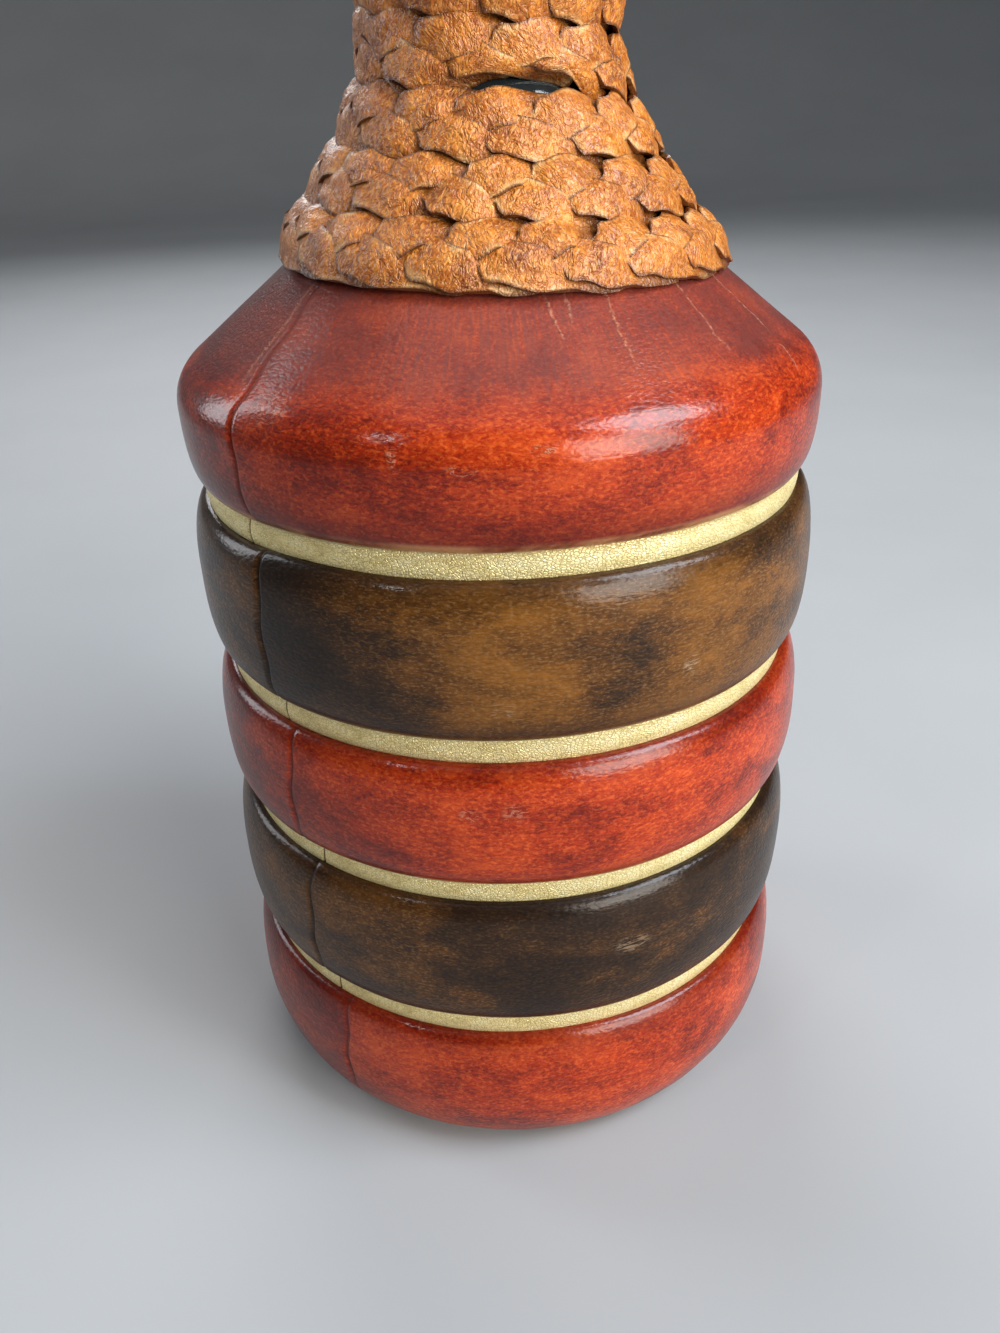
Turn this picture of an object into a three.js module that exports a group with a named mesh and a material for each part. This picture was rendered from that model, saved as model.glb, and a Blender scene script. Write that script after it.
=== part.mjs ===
import * as THREE from "three";

// A leather-wrapped decanter: a glass bottle dressed in firm leather bands over card formers, with gilt
// strips in the grooves between them, a leather plait wound up the shoulder and neck, and a corked stopper.
// Millimetres, +Z up. It stands on z = 0 with its axis on Z, and its front faces -Y.

// Fits
const FIT = 0.3; // gap between pieces that touch
const CORK_FIT = 0.5; // gap between the cork and the bore
const PLAIT_SEAT = 0.4; // gap under the plait

// Glass bottle
const GLASS_RADIUS = 46;
const GLASS_WALL = 3.2;
const GLASS_FLOOR = 5;
const HEEL_ROUND = 5;
const GLASS_SHOULDER_RISE = 11.5; // foot of the glass shoulder above the top groove
const NECK_RADIUS = 17.5;
const NECK_RISE = 34.5; // start of the straight neck above the foot of the plait
const NECK_LENGTH = 44;
const LIP_OVERHANG = 4;
const LIP_HEIGHT = 8;
const LIP_ROUND = 2;

// Base pad, formers, leather bands and gilt strips
const PAD_THICKNESS = 1.6;
const LEATHER = 1.4;
const FORMER_WALL = 6.1; // card at the bottom of a groove
const FORMER_CROWN = 2; // card that swells out of a groove
const STRIP_THICKNESS = 1.1;
const GROOVE_HEIGHT = 4.4;
const HEM_LIFT = 0.5; // turned-under leather above the floor
const STACK_HEIGHT = 126; // from the hem to the shoulder, four bands and four grooves
const BASE_RED_SHARE = 0.282; // of the height left for the four bands
const LOWER_BROWN_SHARE = 0.245;
const MIDDLE_RED_SHARE = 0.222; // and the upper brown band takes the rest
const BOTTOM_ROUND_HEIGHT = 17;
const BOTTOM_ROUND_WIDTH = 9.5;

// Leather shoulder
const SHOULDER_SIDE_HEIGHT = 16.6; // top groove to where side and slope would meet
const SHOULDER_SLOPE = THREE.MathUtils.degToRad(37.7);
const SHOULDER_ROUND = 9;
const SHOULDER_UNDERLAP = 6.6; // leather hidden under the plait
const SHOULDER_CARD_MARGIN = 2.4; // bare leather between the card and the plait's foot

// Plait
const PLAIT_FOOT_RADIUS = 40.4; // where its lower edge starts on the leather slope
const PLAIT_PITCH = 9.7;
const PLAIT_ROW_GAP = 0.6;
const PLAIT_THICKNESS = 3.6;
const PLAIT_UNDER_SHARE = 0.72; // flat share of its width on the glass
const PLAIT_TOP_SHARE = 0.6; // and on its face
const PLAIT_END_RUN = 6;
const PLAIT_FOOT_HANDLE = 12; // reach of the curve from slope to neck, at its foot
const PLAIT_NECK_HANDLE = 9; // and at the neck
const LIP_GAP = 1.4; // bare glass between the plait and the lip

// Stopper
const CORK_DEPTH = 24;
const CORK_TAPER = 0.9;
const CORK_CHAMFER = 1;
const CORK_SOCKET_DEPTH = 7;
const KNOB_FOOT_RADIUS = 19.6;
const KNOB_FOOT_REVEAL = 1.2;
const KNOB_STRIP_HEIGHT = 3.8;
const KNOB_CROWN = 1.6; // wood that swells out above the strip
const KNOB_BELLY_HEIGHT = 9;
const KNOB_DOME_HEIGHT = 15;

// Counts
const TURNED_SIDES = 28;
const SHOWN_STEPS = 4;
const HIDDEN_STEPS = 2;
const ROUND_STEPS = 2;
const THROAT_STEPS = 4;
const LOOP_STEPS = 24;
const CROWN_POWER = 2.4; // squareness of a band's swell
const ROUND_POWER = 2;
const THROAT_START = 0.5; // share of the shoulder curve where the glass leaves it

// Radii, worked outwards from the glass
const formerInner = GLASS_RADIUS + FIT;
const formerNeck = formerInner + FORMER_WALL;
const stripInner = formerNeck + FIT;
const grooveRadius = stripInner + STRIP_THICKNESS;
const bandRadius = grooveRadius + FORMER_CROWN + LEATHER;
const hemRadius = bandRadius - BOTTOM_ROUND_WIDTH;

// Heights, worked upwards from the floor
const shoulderLow = HEM_LIFT + STACK_HEIGHT;
const upperTop = shoulderLow - GROOVE_HEIGHT;
const bandsHeight = STACK_HEIGHT - 4 * GROOVE_HEIGHT;
const baseTop = HEM_LIFT + BASE_RED_SHARE * bandsHeight;
const lowerLow = baseTop + GROOVE_HEIGHT;
const lowerTop = lowerLow + LOWER_BROWN_SHARE * bandsHeight;
const middleLow = lowerTop + GROOVE_HEIGHT;
const middleTop = middleLow + MIDDLE_RED_SHARE * bandsHeight;
const upperLow = middleTop + GROOVE_HEIGHT;
const cornerHeight = shoulderLow + SHOULDER_SIDE_HEIGHT;

// Colours and finishes
const redLeather = { color: 0x8a2a17, roughness: 0.35, metalness: 0 };
const brownLeather = { color: 0x3d2a1a, roughness: 0.35, metalness: 0 };
const tanLeather = { color: 0xb8702c, roughness: 0.5, metalness: 0 };
const giltFoil = { color: 0xc2ad74, roughness: 0.4, metalness: 0.8 };
const card = { color: 0x9c8567, roughness: 0.9, metalness: 0 };
const smokedGlass = { color: 0x2a332e, roughness: 0.08, metalness: 0 };
const felt = { color: 0x2f2a24, roughness: 0.95, metalness: 0 };
const corkBark = { color: 0xb98f5f, roughness: 0.85, metalness: 0 };
const turnedWood = { color: 0x7a5232, roughness: 0.6, metalness: 0 };

const at = (radius, height) => new THREE.Vector2(radius, height);

function piece(name, geometry, finish) {
  const mesh = new THREE.Mesh(geometry, new THREE.MeshStandardMaterial(finish));
  mesh.name = name;
  return mesh;
}

// Turns a profile of radius and height about Z.
function turned(profile) {
  return new THREE.LatheGeometry(profile, TURNED_SIDES).rotateX(Math.PI / 2);
}

// A ring between an outer and an inner profile, both listed upwards.
function turnedRing(outer, inner) {
  return turned([...outer, ...[...inner].reverse(), outer[0].clone()]);
}

// A quarter swell, level at its edge and upright where it is fullest.
function swell(edge, full, power, steps) {
  return Array.from({ length: steps + 1 }, (_, i) => {
    const angle = (i / steps) * (Math.PI / 2);
    const across = Math.sin(angle) ** (2 / power);
    const along = Math.cos(angle) ** (2 / power);
    return at(edge.x + (full.x - edge.x) * across, full.y + (edge.y - full.y) * along);
  });
}

// A face that lies under another takes fewer steps.
const stepsAt = (drawnIn) => (drawnIn > 0 ? HIDDEN_STEPS : SHOWN_STEPS);

// An arc listed from one angle to another, 0 pointing outwards and a quarter turn upwards.
function arc(centre, radius, from, to) {
  return Array.from({ length: ROUND_STEPS + 1 }, (_, i) => {
    const angle = from + ((to - from) * i) / ROUND_STEPS;
    return at(centre.x + radius * Math.cos(angle), centre.y + radius * Math.sin(angle));
  });
}

// Moves an upward profile towards the axis by one distance, square to itself.
function movedIn(profile, distance) {
  return profile.map((point, i) => {
    const before = profile[Math.max(i - 1, 0)];
    const after = profile[Math.min(i + 1, profile.length - 1)];
    const into = (i ? point.clone().sub(before) : after.clone().sub(point)).normalize();
    const onward = (i < profile.length - 1 ? after.clone().sub(point) : into.clone()).normalize();
    const along = into.clone().add(onward).normalize();
    const reach = distance / along.dot(into);
    return at(point.x - along.y * reach, point.y + along.x * reach);
  });
}

// The side of a band, swelling from its lower edge and back in at its upper one.
function bandSide(low, high, edgeRadius, fullRadius, steps) {
  const full = at(fullRadius, (low + high) / 2);
  const lower = swell(at(edgeRadius, low), full, CROWN_POWER, steps);
  const upper = swell(at(edgeRadius, high), full, CROWN_POWER, steps);
  return [...lower, ...upper.reverse().slice(1)];
}

function bandLeather(low, high) {
  const outer = bandSide(low, high, grooveRadius, bandRadius, SHOWN_STEPS);
  const inner = bandSide(low + LEATHER, high - LEATHER, grooveRadius, bandRadius - LEATHER, HIDDEN_STEPS);
  return turnedRing(
    [at(stripInner, low), ...outer, at(stripInner, high)],
    [at(stripInner, low + LEATHER), ...inner, at(stripInner, high - LEATHER)],
  );
}

// Two formers meet halfway up the strip that covers them.
const formerReach = (GROOVE_HEIGHT - FIT) / 2;

function bandFormer(low, high) {
  const under = LEATHER + FIT;
  const side = bandSide(low + under, high - under, grooveRadius - FIT, bandRadius - under, HIDDEN_STEPS);
  return turnedRing(
    [
      at(formerNeck, low - formerReach),
      at(formerNeck, low + under),
      ...side,
      at(formerNeck, high - under),
      at(formerNeck, high + formerReach),
    ],
    [at(formerInner, low - formerReach), at(formerInner, high + formerReach)],
  );
}

// The base band's side, drawn in by a distance: rounded under at the hem, then swelling as the others do.
function baseSide(drawnIn) {
  const fullest = at(bandRadius - drawnIn, HEM_LIFT + BOTTOM_ROUND_HEIGHT);
  const edgeRadius = grooveRadius - Math.max(drawnIn - LEATHER, 0);
  const steps = stepsAt(drawnIn);
  const under = swell(at(hemRadius, HEM_LIFT + drawnIn), fullest, ROUND_POWER, steps);
  const upper = swell(at(edgeRadius, baseTop - drawnIn), fullest, CROWN_POWER, steps);
  return [...under, ...upper.reverse().slice(1)];
}

function baseLeather() {
  return turnedRing(
    [...baseSide(0), at(stripInner, baseTop)],
    [...baseSide(LEATHER), at(stripInner, baseTop - LEATHER)],
  );
}

function baseFormer() {
  const under = LEATHER + FIT;
  return turnedRing(
    [...baseSide(under), at(formerNeck, baseTop - under), at(formerNeck, baseTop + formerReach)],
    [at(formerInner, HEM_LIFT + under), at(formerInner, baseTop + formerReach)],
  );
}

// The leather slope of the shoulder: a point on it by radius, and its square direction.
const slopeNormal = at(Math.sin(SHOULDER_SLOPE), Math.cos(SHOULDER_SLOPE));

function onSlope(radius, lift) {
  const height = cornerHeight + (bandRadius - radius) * Math.tan(SHOULDER_SLOPE);
  return at(radius, height).addScaledVector(slopeNormal, lift);
}

// The shoulder's side and slope, drawn in by a distance, up to a radius on the slope.
function shoulderSide(drawnIn, topRadius) {
  const turn = Math.PI / 2 - SHOULDER_SLOPE;
  const sideTop = cornerHeight - SHOULDER_ROUND * Math.tan(turn / 2);
  const edge = at(grooveRadius - Math.max(drawnIn - LEATHER, 0), shoulderLow + drawnIn);
  const side = swell(edge, at(bandRadius - drawnIn, sideTop), CROWN_POWER, stepsAt(drawnIn));
  const round = arc(at(bandRadius - SHOULDER_ROUND, sideTop), SHOULDER_ROUND - drawnIn, 0, turn);
  return [...side, ...round.slice(1), onSlope(topRadius, -drawnIn)];
}

const shoulderTopRadius = PLAIT_FOOT_RADIUS - SHOULDER_UNDERLAP;

function shoulderLeather() {
  return turnedRing(
    [at(stripInner, shoulderLow), ...shoulderSide(0, shoulderTopRadius)],
    [at(stripInner, shoulderLow + LEATHER), ...shoulderSide(LEATHER, shoulderTopRadius)],
  );
}

// The line along the middle of the plait, from the leather slope to the top of the neck.
const plaitLift = PLAIT_SEAT + PLAIT_THICKNESS / 2;
const plaitFoot = onSlope(PLAIT_FOOT_RADIUS, plaitLift);
const neckFoot = at(NECK_RADIUS + plaitLift, plaitFoot.y + NECK_RISE);
const neckTop = neckFoot.y + NECK_LENGTH;
const shoulderCurve = new THREE.CubicBezierCurve(
  plaitFoot,
  at(-Math.cos(SHOULDER_SLOPE), Math.sin(SHOULDER_SLOPE)).multiplyScalar(PLAIT_FOOT_HANDLE).add(plaitFoot),
  at(neckFoot.x, neckFoot.y - PLAIT_NECK_HANDLE),
  neckFoot,
);
const plaitLine = new THREE.CurvePath();
plaitLine.add(shoulderCurve);
plaitLine.add(new THREE.LineCurve(neckFoot, at(neckFoot.x, neckTop - LIP_GAP)));

const outwards = (tangent) => at(tangent.y, -tangent.x);

// The outside of the glass from its heel to its lip, following the plait from the throat up.
const glassBottom = PAD_THICKNESS + FIT;
const glassShoulder = at(GLASS_RADIUS, shoulderLow + GLASS_SHOULDER_RISE);
const underLeather = onSlope(shoulderTopRadius, -(LEATHER + FIT));

function glassSide() {
  const throat = Array.from({ length: THROAT_STEPS + 1 }, (_, i) => {
    const share = THROAT_START + ((1 - THROAT_START) * i) / THROAT_STEPS;
    const normal = outwards(shoulderCurve.getTangent(share));
    return shoulderCurve.getPoint(share).addScaledVector(normal, -plaitLift);
  });
  return [
    at(GLASS_RADIUS, glassBottom + HEEL_ROUND),
    glassShoulder,
    underLeather,
    ...throat,
    at(NECK_RADIUS, neckTop),
  ];
}

function glassBottle() {
  const side = glassSide();
  const heelCentre = at(GLASS_RADIUS - HEEL_ROUND, glassBottom + HEEL_ROUND);
  const lipRadius = NECK_RADIUS + LIP_OVERHANG;
  const mouth = neckTop + LIP_HEIGHT;
  const boreRadius = NECK_RADIUS - GLASS_WALL;
  const innerFloor = glassBottom + GLASS_FLOOR;
  const innerSide = movedIn(side, GLASS_WALL).slice(1, -1);
  const lip = [
    ...arc(at(lipRadius - LIP_ROUND, neckTop + LIP_ROUND), LIP_ROUND, -Math.PI / 2, 0),
    ...arc(at(lipRadius - LIP_ROUND, mouth - LIP_ROUND), LIP_ROUND, 0, Math.PI / 2),
  ];
  const innerHeel = swell(at(heelCentre.x - GLASS_WALL, innerFloor),
    at(GLASS_RADIUS - GLASS_WALL, innerFloor + HEEL_ROUND), ROUND_POWER, HIDDEN_STEPS);
  return turned([
    at(0, glassBottom),
    ...arc(heelCentre, HEEL_ROUND, -Math.PI / 2, 0),
    ...side.slice(1),
    ...lip,
    at(boreRadius, mouth),
    ...innerSide.reverse(),
    ...innerHeel.reverse(),
    at(0, innerFloor),
  ]);
}

// The shoulder's card fills the wedge between the glass and the leather slope.
function shoulderFormer() {
  const under = LEATHER + FIT;
  const topRadius = PLAIT_FOOT_RADIUS + SHOULDER_CARD_MARGIN;
  const cone = underLeather.clone().sub(glassShoulder).normalize();
  const clear = glassShoulder.clone().addScaledVector(outwards(cone), FIT);
  const coneAt = (radius) => at(radius, clear.y + ((radius - clear.x) * cone.y) / cone.x);
  const slopeTop = onSlope(topRadius, -under);
  const low = shoulderLow - formerReach;
  return turnedRing(
    [at(formerNeck, low), at(formerNeck, shoulderLow + under), ...shoulderSide(under, topRadius)],
    [at(formerInner, low), coneAt(formerInner), coneAt(slopeTop.x)],
  );
}

function giltStrip(low) {
  const outer = [at(grooveRadius, low + FIT), at(grooveRadius, low + GROOVE_HEIGHT - FIT)];
  const inner = [at(stripInner, low + FIT), at(stripInner, low + GROOVE_HEIGHT - FIT)];
  return turnedRing(outer, inner);
}

function basePad() {
  const radius = hemRadius - FIT;
  return turned([at(0, 0), at(radius, 0), at(radius, PAD_THICKNESS), at(0, PAD_THICKNESS)]);
}

// The plait's section: across it along the glass, then off the glass.
const plaitWidth = PLAIT_PITCH - PLAIT_ROW_GAP;
const halfWidth = plaitWidth / 2;
const halfThickness = PLAIT_THICKNESS / 2;
const plaitSection = [
  at(-PLAIT_UNDER_SHARE * halfWidth, -halfThickness),
  at(PLAIT_UNDER_SHARE * halfWidth, -halfThickness),
  at(halfWidth, 0),
  at(PLAIT_TOP_SHARE * halfWidth, halfThickness),
  at(-PLAIT_TOP_SHARE * halfWidth, halfThickness),
  at(-halfWidth, 0),
];

// The centre and directions of the plait after a number of turns. It starts at the back and climbs clockwise.
function plaitFrame(turns, total) {
  const share = (halfWidth + PLAIT_PITCH * turns) / total;
  const point = plaitLine.getPoint(share);
  const tangent = plaitLine.getTangent(share);
  const normal = outwards(tangent);
  const angle = Math.PI / 2 - 2 * Math.PI * turns;
  const out = new THREE.Vector3(Math.cos(angle), Math.sin(angle), 0);
  const round = new THREE.Vector3(Math.sin(angle), -Math.cos(angle), 0);
  const up = new THREE.Vector3(0, 0, 1);
  const cornerRadius = point.x / Math.cos(Math.PI / LOOP_STEPS);
  const climb = out.clone().multiplyScalar(tangent.x).addScaledVector(up, tangent.y);
  const ahead = round.multiplyScalar(2 * Math.PI * cornerRadius).addScaledVector(climb, PLAIT_PITCH);
  const forward = ahead.normalize();
  const off = out.clone().multiplyScalar(normal.x).addScaledVector(up, normal.y);
  const centre = out.clone().multiplyScalar(cornerRadius).addScaledVector(up, point.y);
  return { centre, forward, off, across: off.clone().cross(forward) };
}

function plaitRings() {
  const total = plaitLine.getLength();
  const steps = Math.floor(((total - plaitWidth) / PLAIT_PITCH) * LOOP_STEPS);
  const frames = Array.from({ length: steps + 1 }, (_, i) => plaitFrame(i / LOOP_STEPS, total));
  const runOn = (frame, run) => {
    const centre = frame.centre.clone().addScaledVector(frame.forward, run);
    return { ...frame, centre };
  };
  const ends = [runOn(frames[0], -PLAIT_END_RUN), runOn(frames[steps], PLAIT_END_RUN)];
  return [ends[0], ...frames, ends[1]].map(({ centre, across, off }) =>
    plaitSection.map(({ x, y }) => centre.clone().addScaledVector(across, x).addScaledVector(off, y)),
  );
}

// The least distance between corners of the plait that lie over half a turn apart.
function leastGap(rings) {
  let least = Infinity;
  rings.forEach((ring, i) =>
    rings.slice(i + LOOP_STEPS / 2).forEach((other) =>
      ring.forEach((a) => other.forEach((b) => (least = Math.min(least, a.distanceTo(b))))),
    ),
  );
  return least;
}

function neckPlait() {
  const rings = plaitRings();
  const sides = plaitSection.length;
  const last = (rings.length - 1) * sides;
  const faces = [];
  rings.slice(1).forEach((_, i) => {
    for (let k = 0; k < sides; k += 1) {
      const a = i * sides + k;
      const b = i * sides + ((k + 1) % sides);
      faces.push(a, b, a + sides, b, b + sides, a + sides);
    }
  });
  for (let k = 1; k < sides - 1; k += 1) {
    faces.push(0, k + 1, k, last, last + k, last + k + 1);
  }
  console.log(`neck_plait least gap to itself ${leastGap(rings).toFixed(2)} mm`);
  return new THREE.BufferGeometry().setFromPoints(rings.flat()).setIndex(faces);
}

// Stopper, drawn from the underside of its knob, which rests on the lip of the bottle.
const knobStripInner = KNOB_FOOT_RADIUS + FIT;
const knobGroove = knobStripInner + STRIP_THICKNESS;
const knobLeatherLow = KNOB_FOOT_REVEAL + KNOB_STRIP_HEIGHT + FIT;
const knobRadius = knobGroove + KNOB_CROWN + LEATHER;
const knobFullest = knobLeatherLow + KNOB_BELLY_HEIGHT;
const corkRadius = NECK_RADIUS - GLASS_WALL - CORK_FIT;

// The knob's belly and dome, drawn in by a distance, up to the axis.
function knobSide(drawnIn) {
  const full = at(knobRadius - drawnIn, knobFullest);
  const edge = at(knobGroove - Math.max(drawnIn - LEATHER, 0), knobLeatherLow + drawnIn);
  const belly = swell(edge, full, CROWN_POWER, stepsAt(drawnIn));
  const domeTop = at(0, knobFullest + KNOB_DOME_HEIGHT - drawnIn);
  const dome = swell(domeTop, full, ROUND_POWER, stepsAt(drawnIn));
  return [...belly, ...dome.reverse().slice(1)];
}

function stopperCork() {
  const top = CORK_SOCKET_DEPTH - FIT;
  const tipRadius = corkRadius - CORK_TAPER;
  return turned([
    at(0, -CORK_DEPTH),
    at(tipRadius - CORK_CHAMFER, -CORK_DEPTH),
    at(tipRadius, CORK_CHAMFER - CORK_DEPTH),
    at(corkRadius, 0),
    at(corkRadius, top),
    at(0, top),
  ]);
}

function stopperCore() {
  const under = LEATHER + FIT;
  return turned([
    at(0, CORK_SOCKET_DEPTH),
    at(corkRadius + FIT, CORK_SOCKET_DEPTH),
    at(corkRadius + FIT, 0),
    at(KNOB_FOOT_RADIUS, 0),
    at(KNOB_FOOT_RADIUS, knobLeatherLow + under),
    ...knobSide(under),
  ]);
}

function stopperLeather() {
  return turned([
    ...knobSide(LEATHER).reverse(),
    at(knobStripInner, knobLeatherLow + LEATHER),
    at(knobStripInner, knobLeatherLow),
    ...knobSide(0),
  ]);
}

function stopperStrip() {
  const top = KNOB_FOOT_REVEAL + KNOB_STRIP_HEIGHT;
  return turnedRing(
    [at(knobGroove, KNOB_FOOT_REVEAL), at(knobGroove, top)],
    [at(knobStripInner, KNOB_FOOT_REVEAL), at(knobStripInner, top)],
  );
}

const stopper = new THREE.Group();
stopper.position.z = neckTop + LIP_HEIGHT + FIT;
stopper.add(
  piece("stopper_cork", stopperCork(), corkBark),
  piece("stopper_core", stopperCore(), turnedWood),
  piece("stopper_leather", stopperLeather(), redLeather),
  piece("stopper_strip", stopperStrip(), giltFoil),
);

const decanter = new THREE.Group();
decanter.add(
  piece("glass_bottle", glassBottle(), smokedGlass),
  piece("base_pad", basePad(), felt),
  piece("base_former", baseFormer(), card),
  piece("lower_former", bandFormer(lowerLow, lowerTop), card),
  piece("middle_former", bandFormer(middleLow, middleTop), card),
  piece("upper_former", bandFormer(upperLow, upperTop), card),
  piece("shoulder_former", shoulderFormer(), card),
  piece("base_red_leather", baseLeather(), redLeather),
  piece("lower_brown_leather", bandLeather(lowerLow, lowerTop), brownLeather),
  piece("middle_red_leather", bandLeather(middleLow, middleTop), redLeather),
  piece("upper_brown_leather", bandLeather(upperLow, upperTop), brownLeather),
  piece("shoulder_red_leather", shoulderLeather(), redLeather),
  piece("gilt_strip_1", giltStrip(baseTop), giltFoil),
  piece("gilt_strip_2", giltStrip(lowerTop), giltFoil),
  piece("gilt_strip_3", giltStrip(middleTop), giltFoil),
  piece("gilt_strip_4", giltStrip(upperTop), giltFoil),
  piece("neck_plait", neckPlait(), tanLeather),
  stopper,
);

export default decanter;
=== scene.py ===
import bisect
import math
from collections import namedtuple

import bmesh
import bpy
from mathutils import Matrix, Vector, noise


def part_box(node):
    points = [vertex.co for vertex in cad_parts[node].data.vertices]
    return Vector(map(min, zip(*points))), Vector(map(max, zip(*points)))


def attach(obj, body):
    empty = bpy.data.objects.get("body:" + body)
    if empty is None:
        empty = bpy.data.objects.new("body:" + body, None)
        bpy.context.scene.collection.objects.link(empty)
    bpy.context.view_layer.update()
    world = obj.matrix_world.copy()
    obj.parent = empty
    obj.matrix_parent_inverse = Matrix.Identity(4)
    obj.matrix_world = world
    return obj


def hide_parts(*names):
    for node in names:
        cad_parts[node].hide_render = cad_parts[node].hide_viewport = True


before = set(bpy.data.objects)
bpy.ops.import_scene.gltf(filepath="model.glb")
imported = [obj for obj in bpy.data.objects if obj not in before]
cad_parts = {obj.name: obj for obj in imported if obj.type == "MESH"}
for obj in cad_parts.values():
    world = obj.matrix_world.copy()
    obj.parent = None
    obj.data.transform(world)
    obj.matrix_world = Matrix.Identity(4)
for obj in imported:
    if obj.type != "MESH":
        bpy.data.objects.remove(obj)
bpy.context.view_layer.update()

# Sizes in millimetres. Most heights come from the CAD nodes' own boxes.
MM = 0.001
GROOVE_RADIUS = 53.8
STRIP_INNER = 52.7
BAND_RADIUS = 57.2
BAND_SWELL = 0.2
HEM_RADIUS = 47.7
HEM_HEIGHT = 0.5
BOTTOM_ROUND_HEIGHT = 17.0
LEATHER = 1.4
CROWN_POWER = 2.4
ROUND_POWER = 2.0
CORNER_HEIGHT = 143.1
SLOPE = math.radians(37.7)
SHOULDER_ROUND = 9.0
SHOULDER_RADIUS = 56.5
SHOULDER_TOP_RADIUS = 33.8
PLAIT_FOOT_RADIUS = 40.4
PLAIT_PITCH = 9.7
PLAIT_LIFT = 2.2
NECK_RADIUS = 17.5
NECK_RISE = 34.5
NECK_TOP = 236.3

# Length of a band's strip, in metres
BAND_LENGTH = 2 * math.pi * BAND_RADIUS * MM

# Seams and edges of the leather
Seam = namedtuple("Seam", "degrees slant lap groove")
SEAM_CROWDING = 0.88
SEAM_BEND_FADE = 14.0
SEAM_WAVE = 0.35
SEAM_WAVE_RATE = 0.55
LAP_FADE = 7.0
LAP_AHEAD = 0.35
LAP_AHEAD_FADE = 5.0
FURROW_WIDTH = 0.5
BAND_UNEVEN = 0.22
RIPPLE_SHARE = 0.35
EDGE_WAVE = 0.55
EDGE_WAVE_RATE = 2.6
EDGE_WAVE_FADE = 3.0
RAW_EDGE_REACH = 6.0
WRAP_STEPS = 288
TURNED_STEPS = 96
STOPPER_STEPS = 64
HARD_EDGE = math.radians(48)

# Photograph's camera
FOCAL_PIXELS = 1100.0
IMAGE_WIDTH = 1000.0
IMAGE_HEIGHT = 1333.0
SENSOR = 36.0
EYE = (0.0, -0.2003, 0.1873)
PITCH_DOWN = math.radians(28.46)
ROLL = math.radians(-1.90)
YAW = math.radians(-0.44)


# Meshes

def node_span(node):
    """Lowest and highest height of a CAD node, in millimetres."""
    low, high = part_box(node)
    return low.z / MM, high.z / MM


def curve_points(edge, full, power, steps):
    """A quarter swell from its level edge to its upright fullest point."""
    points = []
    for i in range(steps + 1):
        angle = i / steps * math.pi / 2
        across = math.sin(angle) ** (2 / power)
        along = math.cos(angle) ** (2 / power)
        points.append((edge[0] + (full[0] - edge[0]) * across, full[1] + (edge[1] - full[1]) * along))
    return points


def arc_points(centre, radius, start, end, steps):
    """Points of an arc; 0 points outwards and a quarter turn upwards."""
    points = []
    for i in range(steps + 1):
        angle = start + (end - start) * i / steps
        points.append((centre[0] + radius * math.cos(angle), centre[1] + radius * math.sin(angle)))
    return points


def spaced(points, gap):
    """Adds points to a profile so that no two lie further apart than the gap."""
    out = [points[0]]
    for a, b in zip(points, points[1:]):
        count = max(1, math.ceil(math.dist(a, b) / gap))
        for i in range(1, count + 1):
            out.append((a[0] + (b[0] - a[0]) * i / count, a[1] + (b[1] - a[1]) * i / count))
    return out


def run_of(points):
    return sum(math.dist(a, b) for a, b in zip(points, points[1:]))


def finished_piece(name, mesh_bm, material, body, slot, *nodes):
    """Turns a bmesh into a smooth-shaded piece that rides on a body and stands for CAD nodes."""
    for face in mesh_bm.faces:
        face.smooth = True
    for edge in mesh_bm.edges:
        if len(edge.link_faces) == 2 and edge.calc_face_angle(0) > HARD_EDGE:
            edge.smooth = False
    mesh = bpy.data.meshes.new(name)
    mesh_bm.to_mesh(mesh)
    mesh_bm.free()
    mesh.materials.append(material)
    obj = bpy.data.objects.new(name, mesh)
    bpy.context.scene.collection.objects.link(obj)
    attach(obj, body)
    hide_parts(*nodes)


def turned(profile, steps, closed):
    """Spins a profile of (radius, height) about Z. Each vertex keeps its place along the profile."""
    bm = bmesh.new()
    along = bm.verts.layers.float.new("along")
    run = 0.0
    verts = []
    for i, (radius, height) in enumerate(profile):
        run += math.dist(profile[i - 1], profile[i]) if i else 0.0
        vert = bm.verts.new((radius * MM, 0.0, height * MM))
        vert[along] = run
        verts.append(vert)
    ends = verts[1:] + verts[:1] if closed else verts[1:]
    edges = [bm.edges.new(pair) for pair in zip(verts, ends)]
    bmesh.ops.spin(bm, geom=verts + edges, cent=(0, 0, 0), axis=(0, 0, 1), angle=2 * math.pi,
                   steps=steps, use_merge=True)
    bmesh.ops.remove_doubles(bm, verts=bm.verts, dist=1e-6)
    bmesh.ops.recalc_face_normals(bm, faces=bm.faces)
    return bm


def seam_ruffle(away, seam):
    """How far leather stands off beside a seam: a raised lap on its left and a narrow furrow in it."""
    if away < 0:
        lift = seam.lap * math.exp(away / LAP_FADE)
    else:
        lift = LAP_AHEAD * seam.lap * math.exp(-away / LAP_AHEAD_FADE)
    return lift - seam.groove * math.exp(-(away / FURROW_WIDTH) ** 2)


def edge_wave(angle, run, outer_run, seed, wavy):
    """How far the hand-cut lower and upper edges of a strip rise and fall."""
    spot = Vector((math.cos(angle) * EDGE_WAVE_RATE, math.sin(angle) * EDGE_WAVE_RATE, seed))
    lower = wavy[0] * noise.noise(spot) * math.exp(-run / EDGE_WAVE_FADE)
    upper = wavy[1] * noise.noise(spot + Vector((0, 0, 20))) * math.exp((run - outer_run) / EDGE_WAVE_FADE)
    return lower + upper


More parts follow.
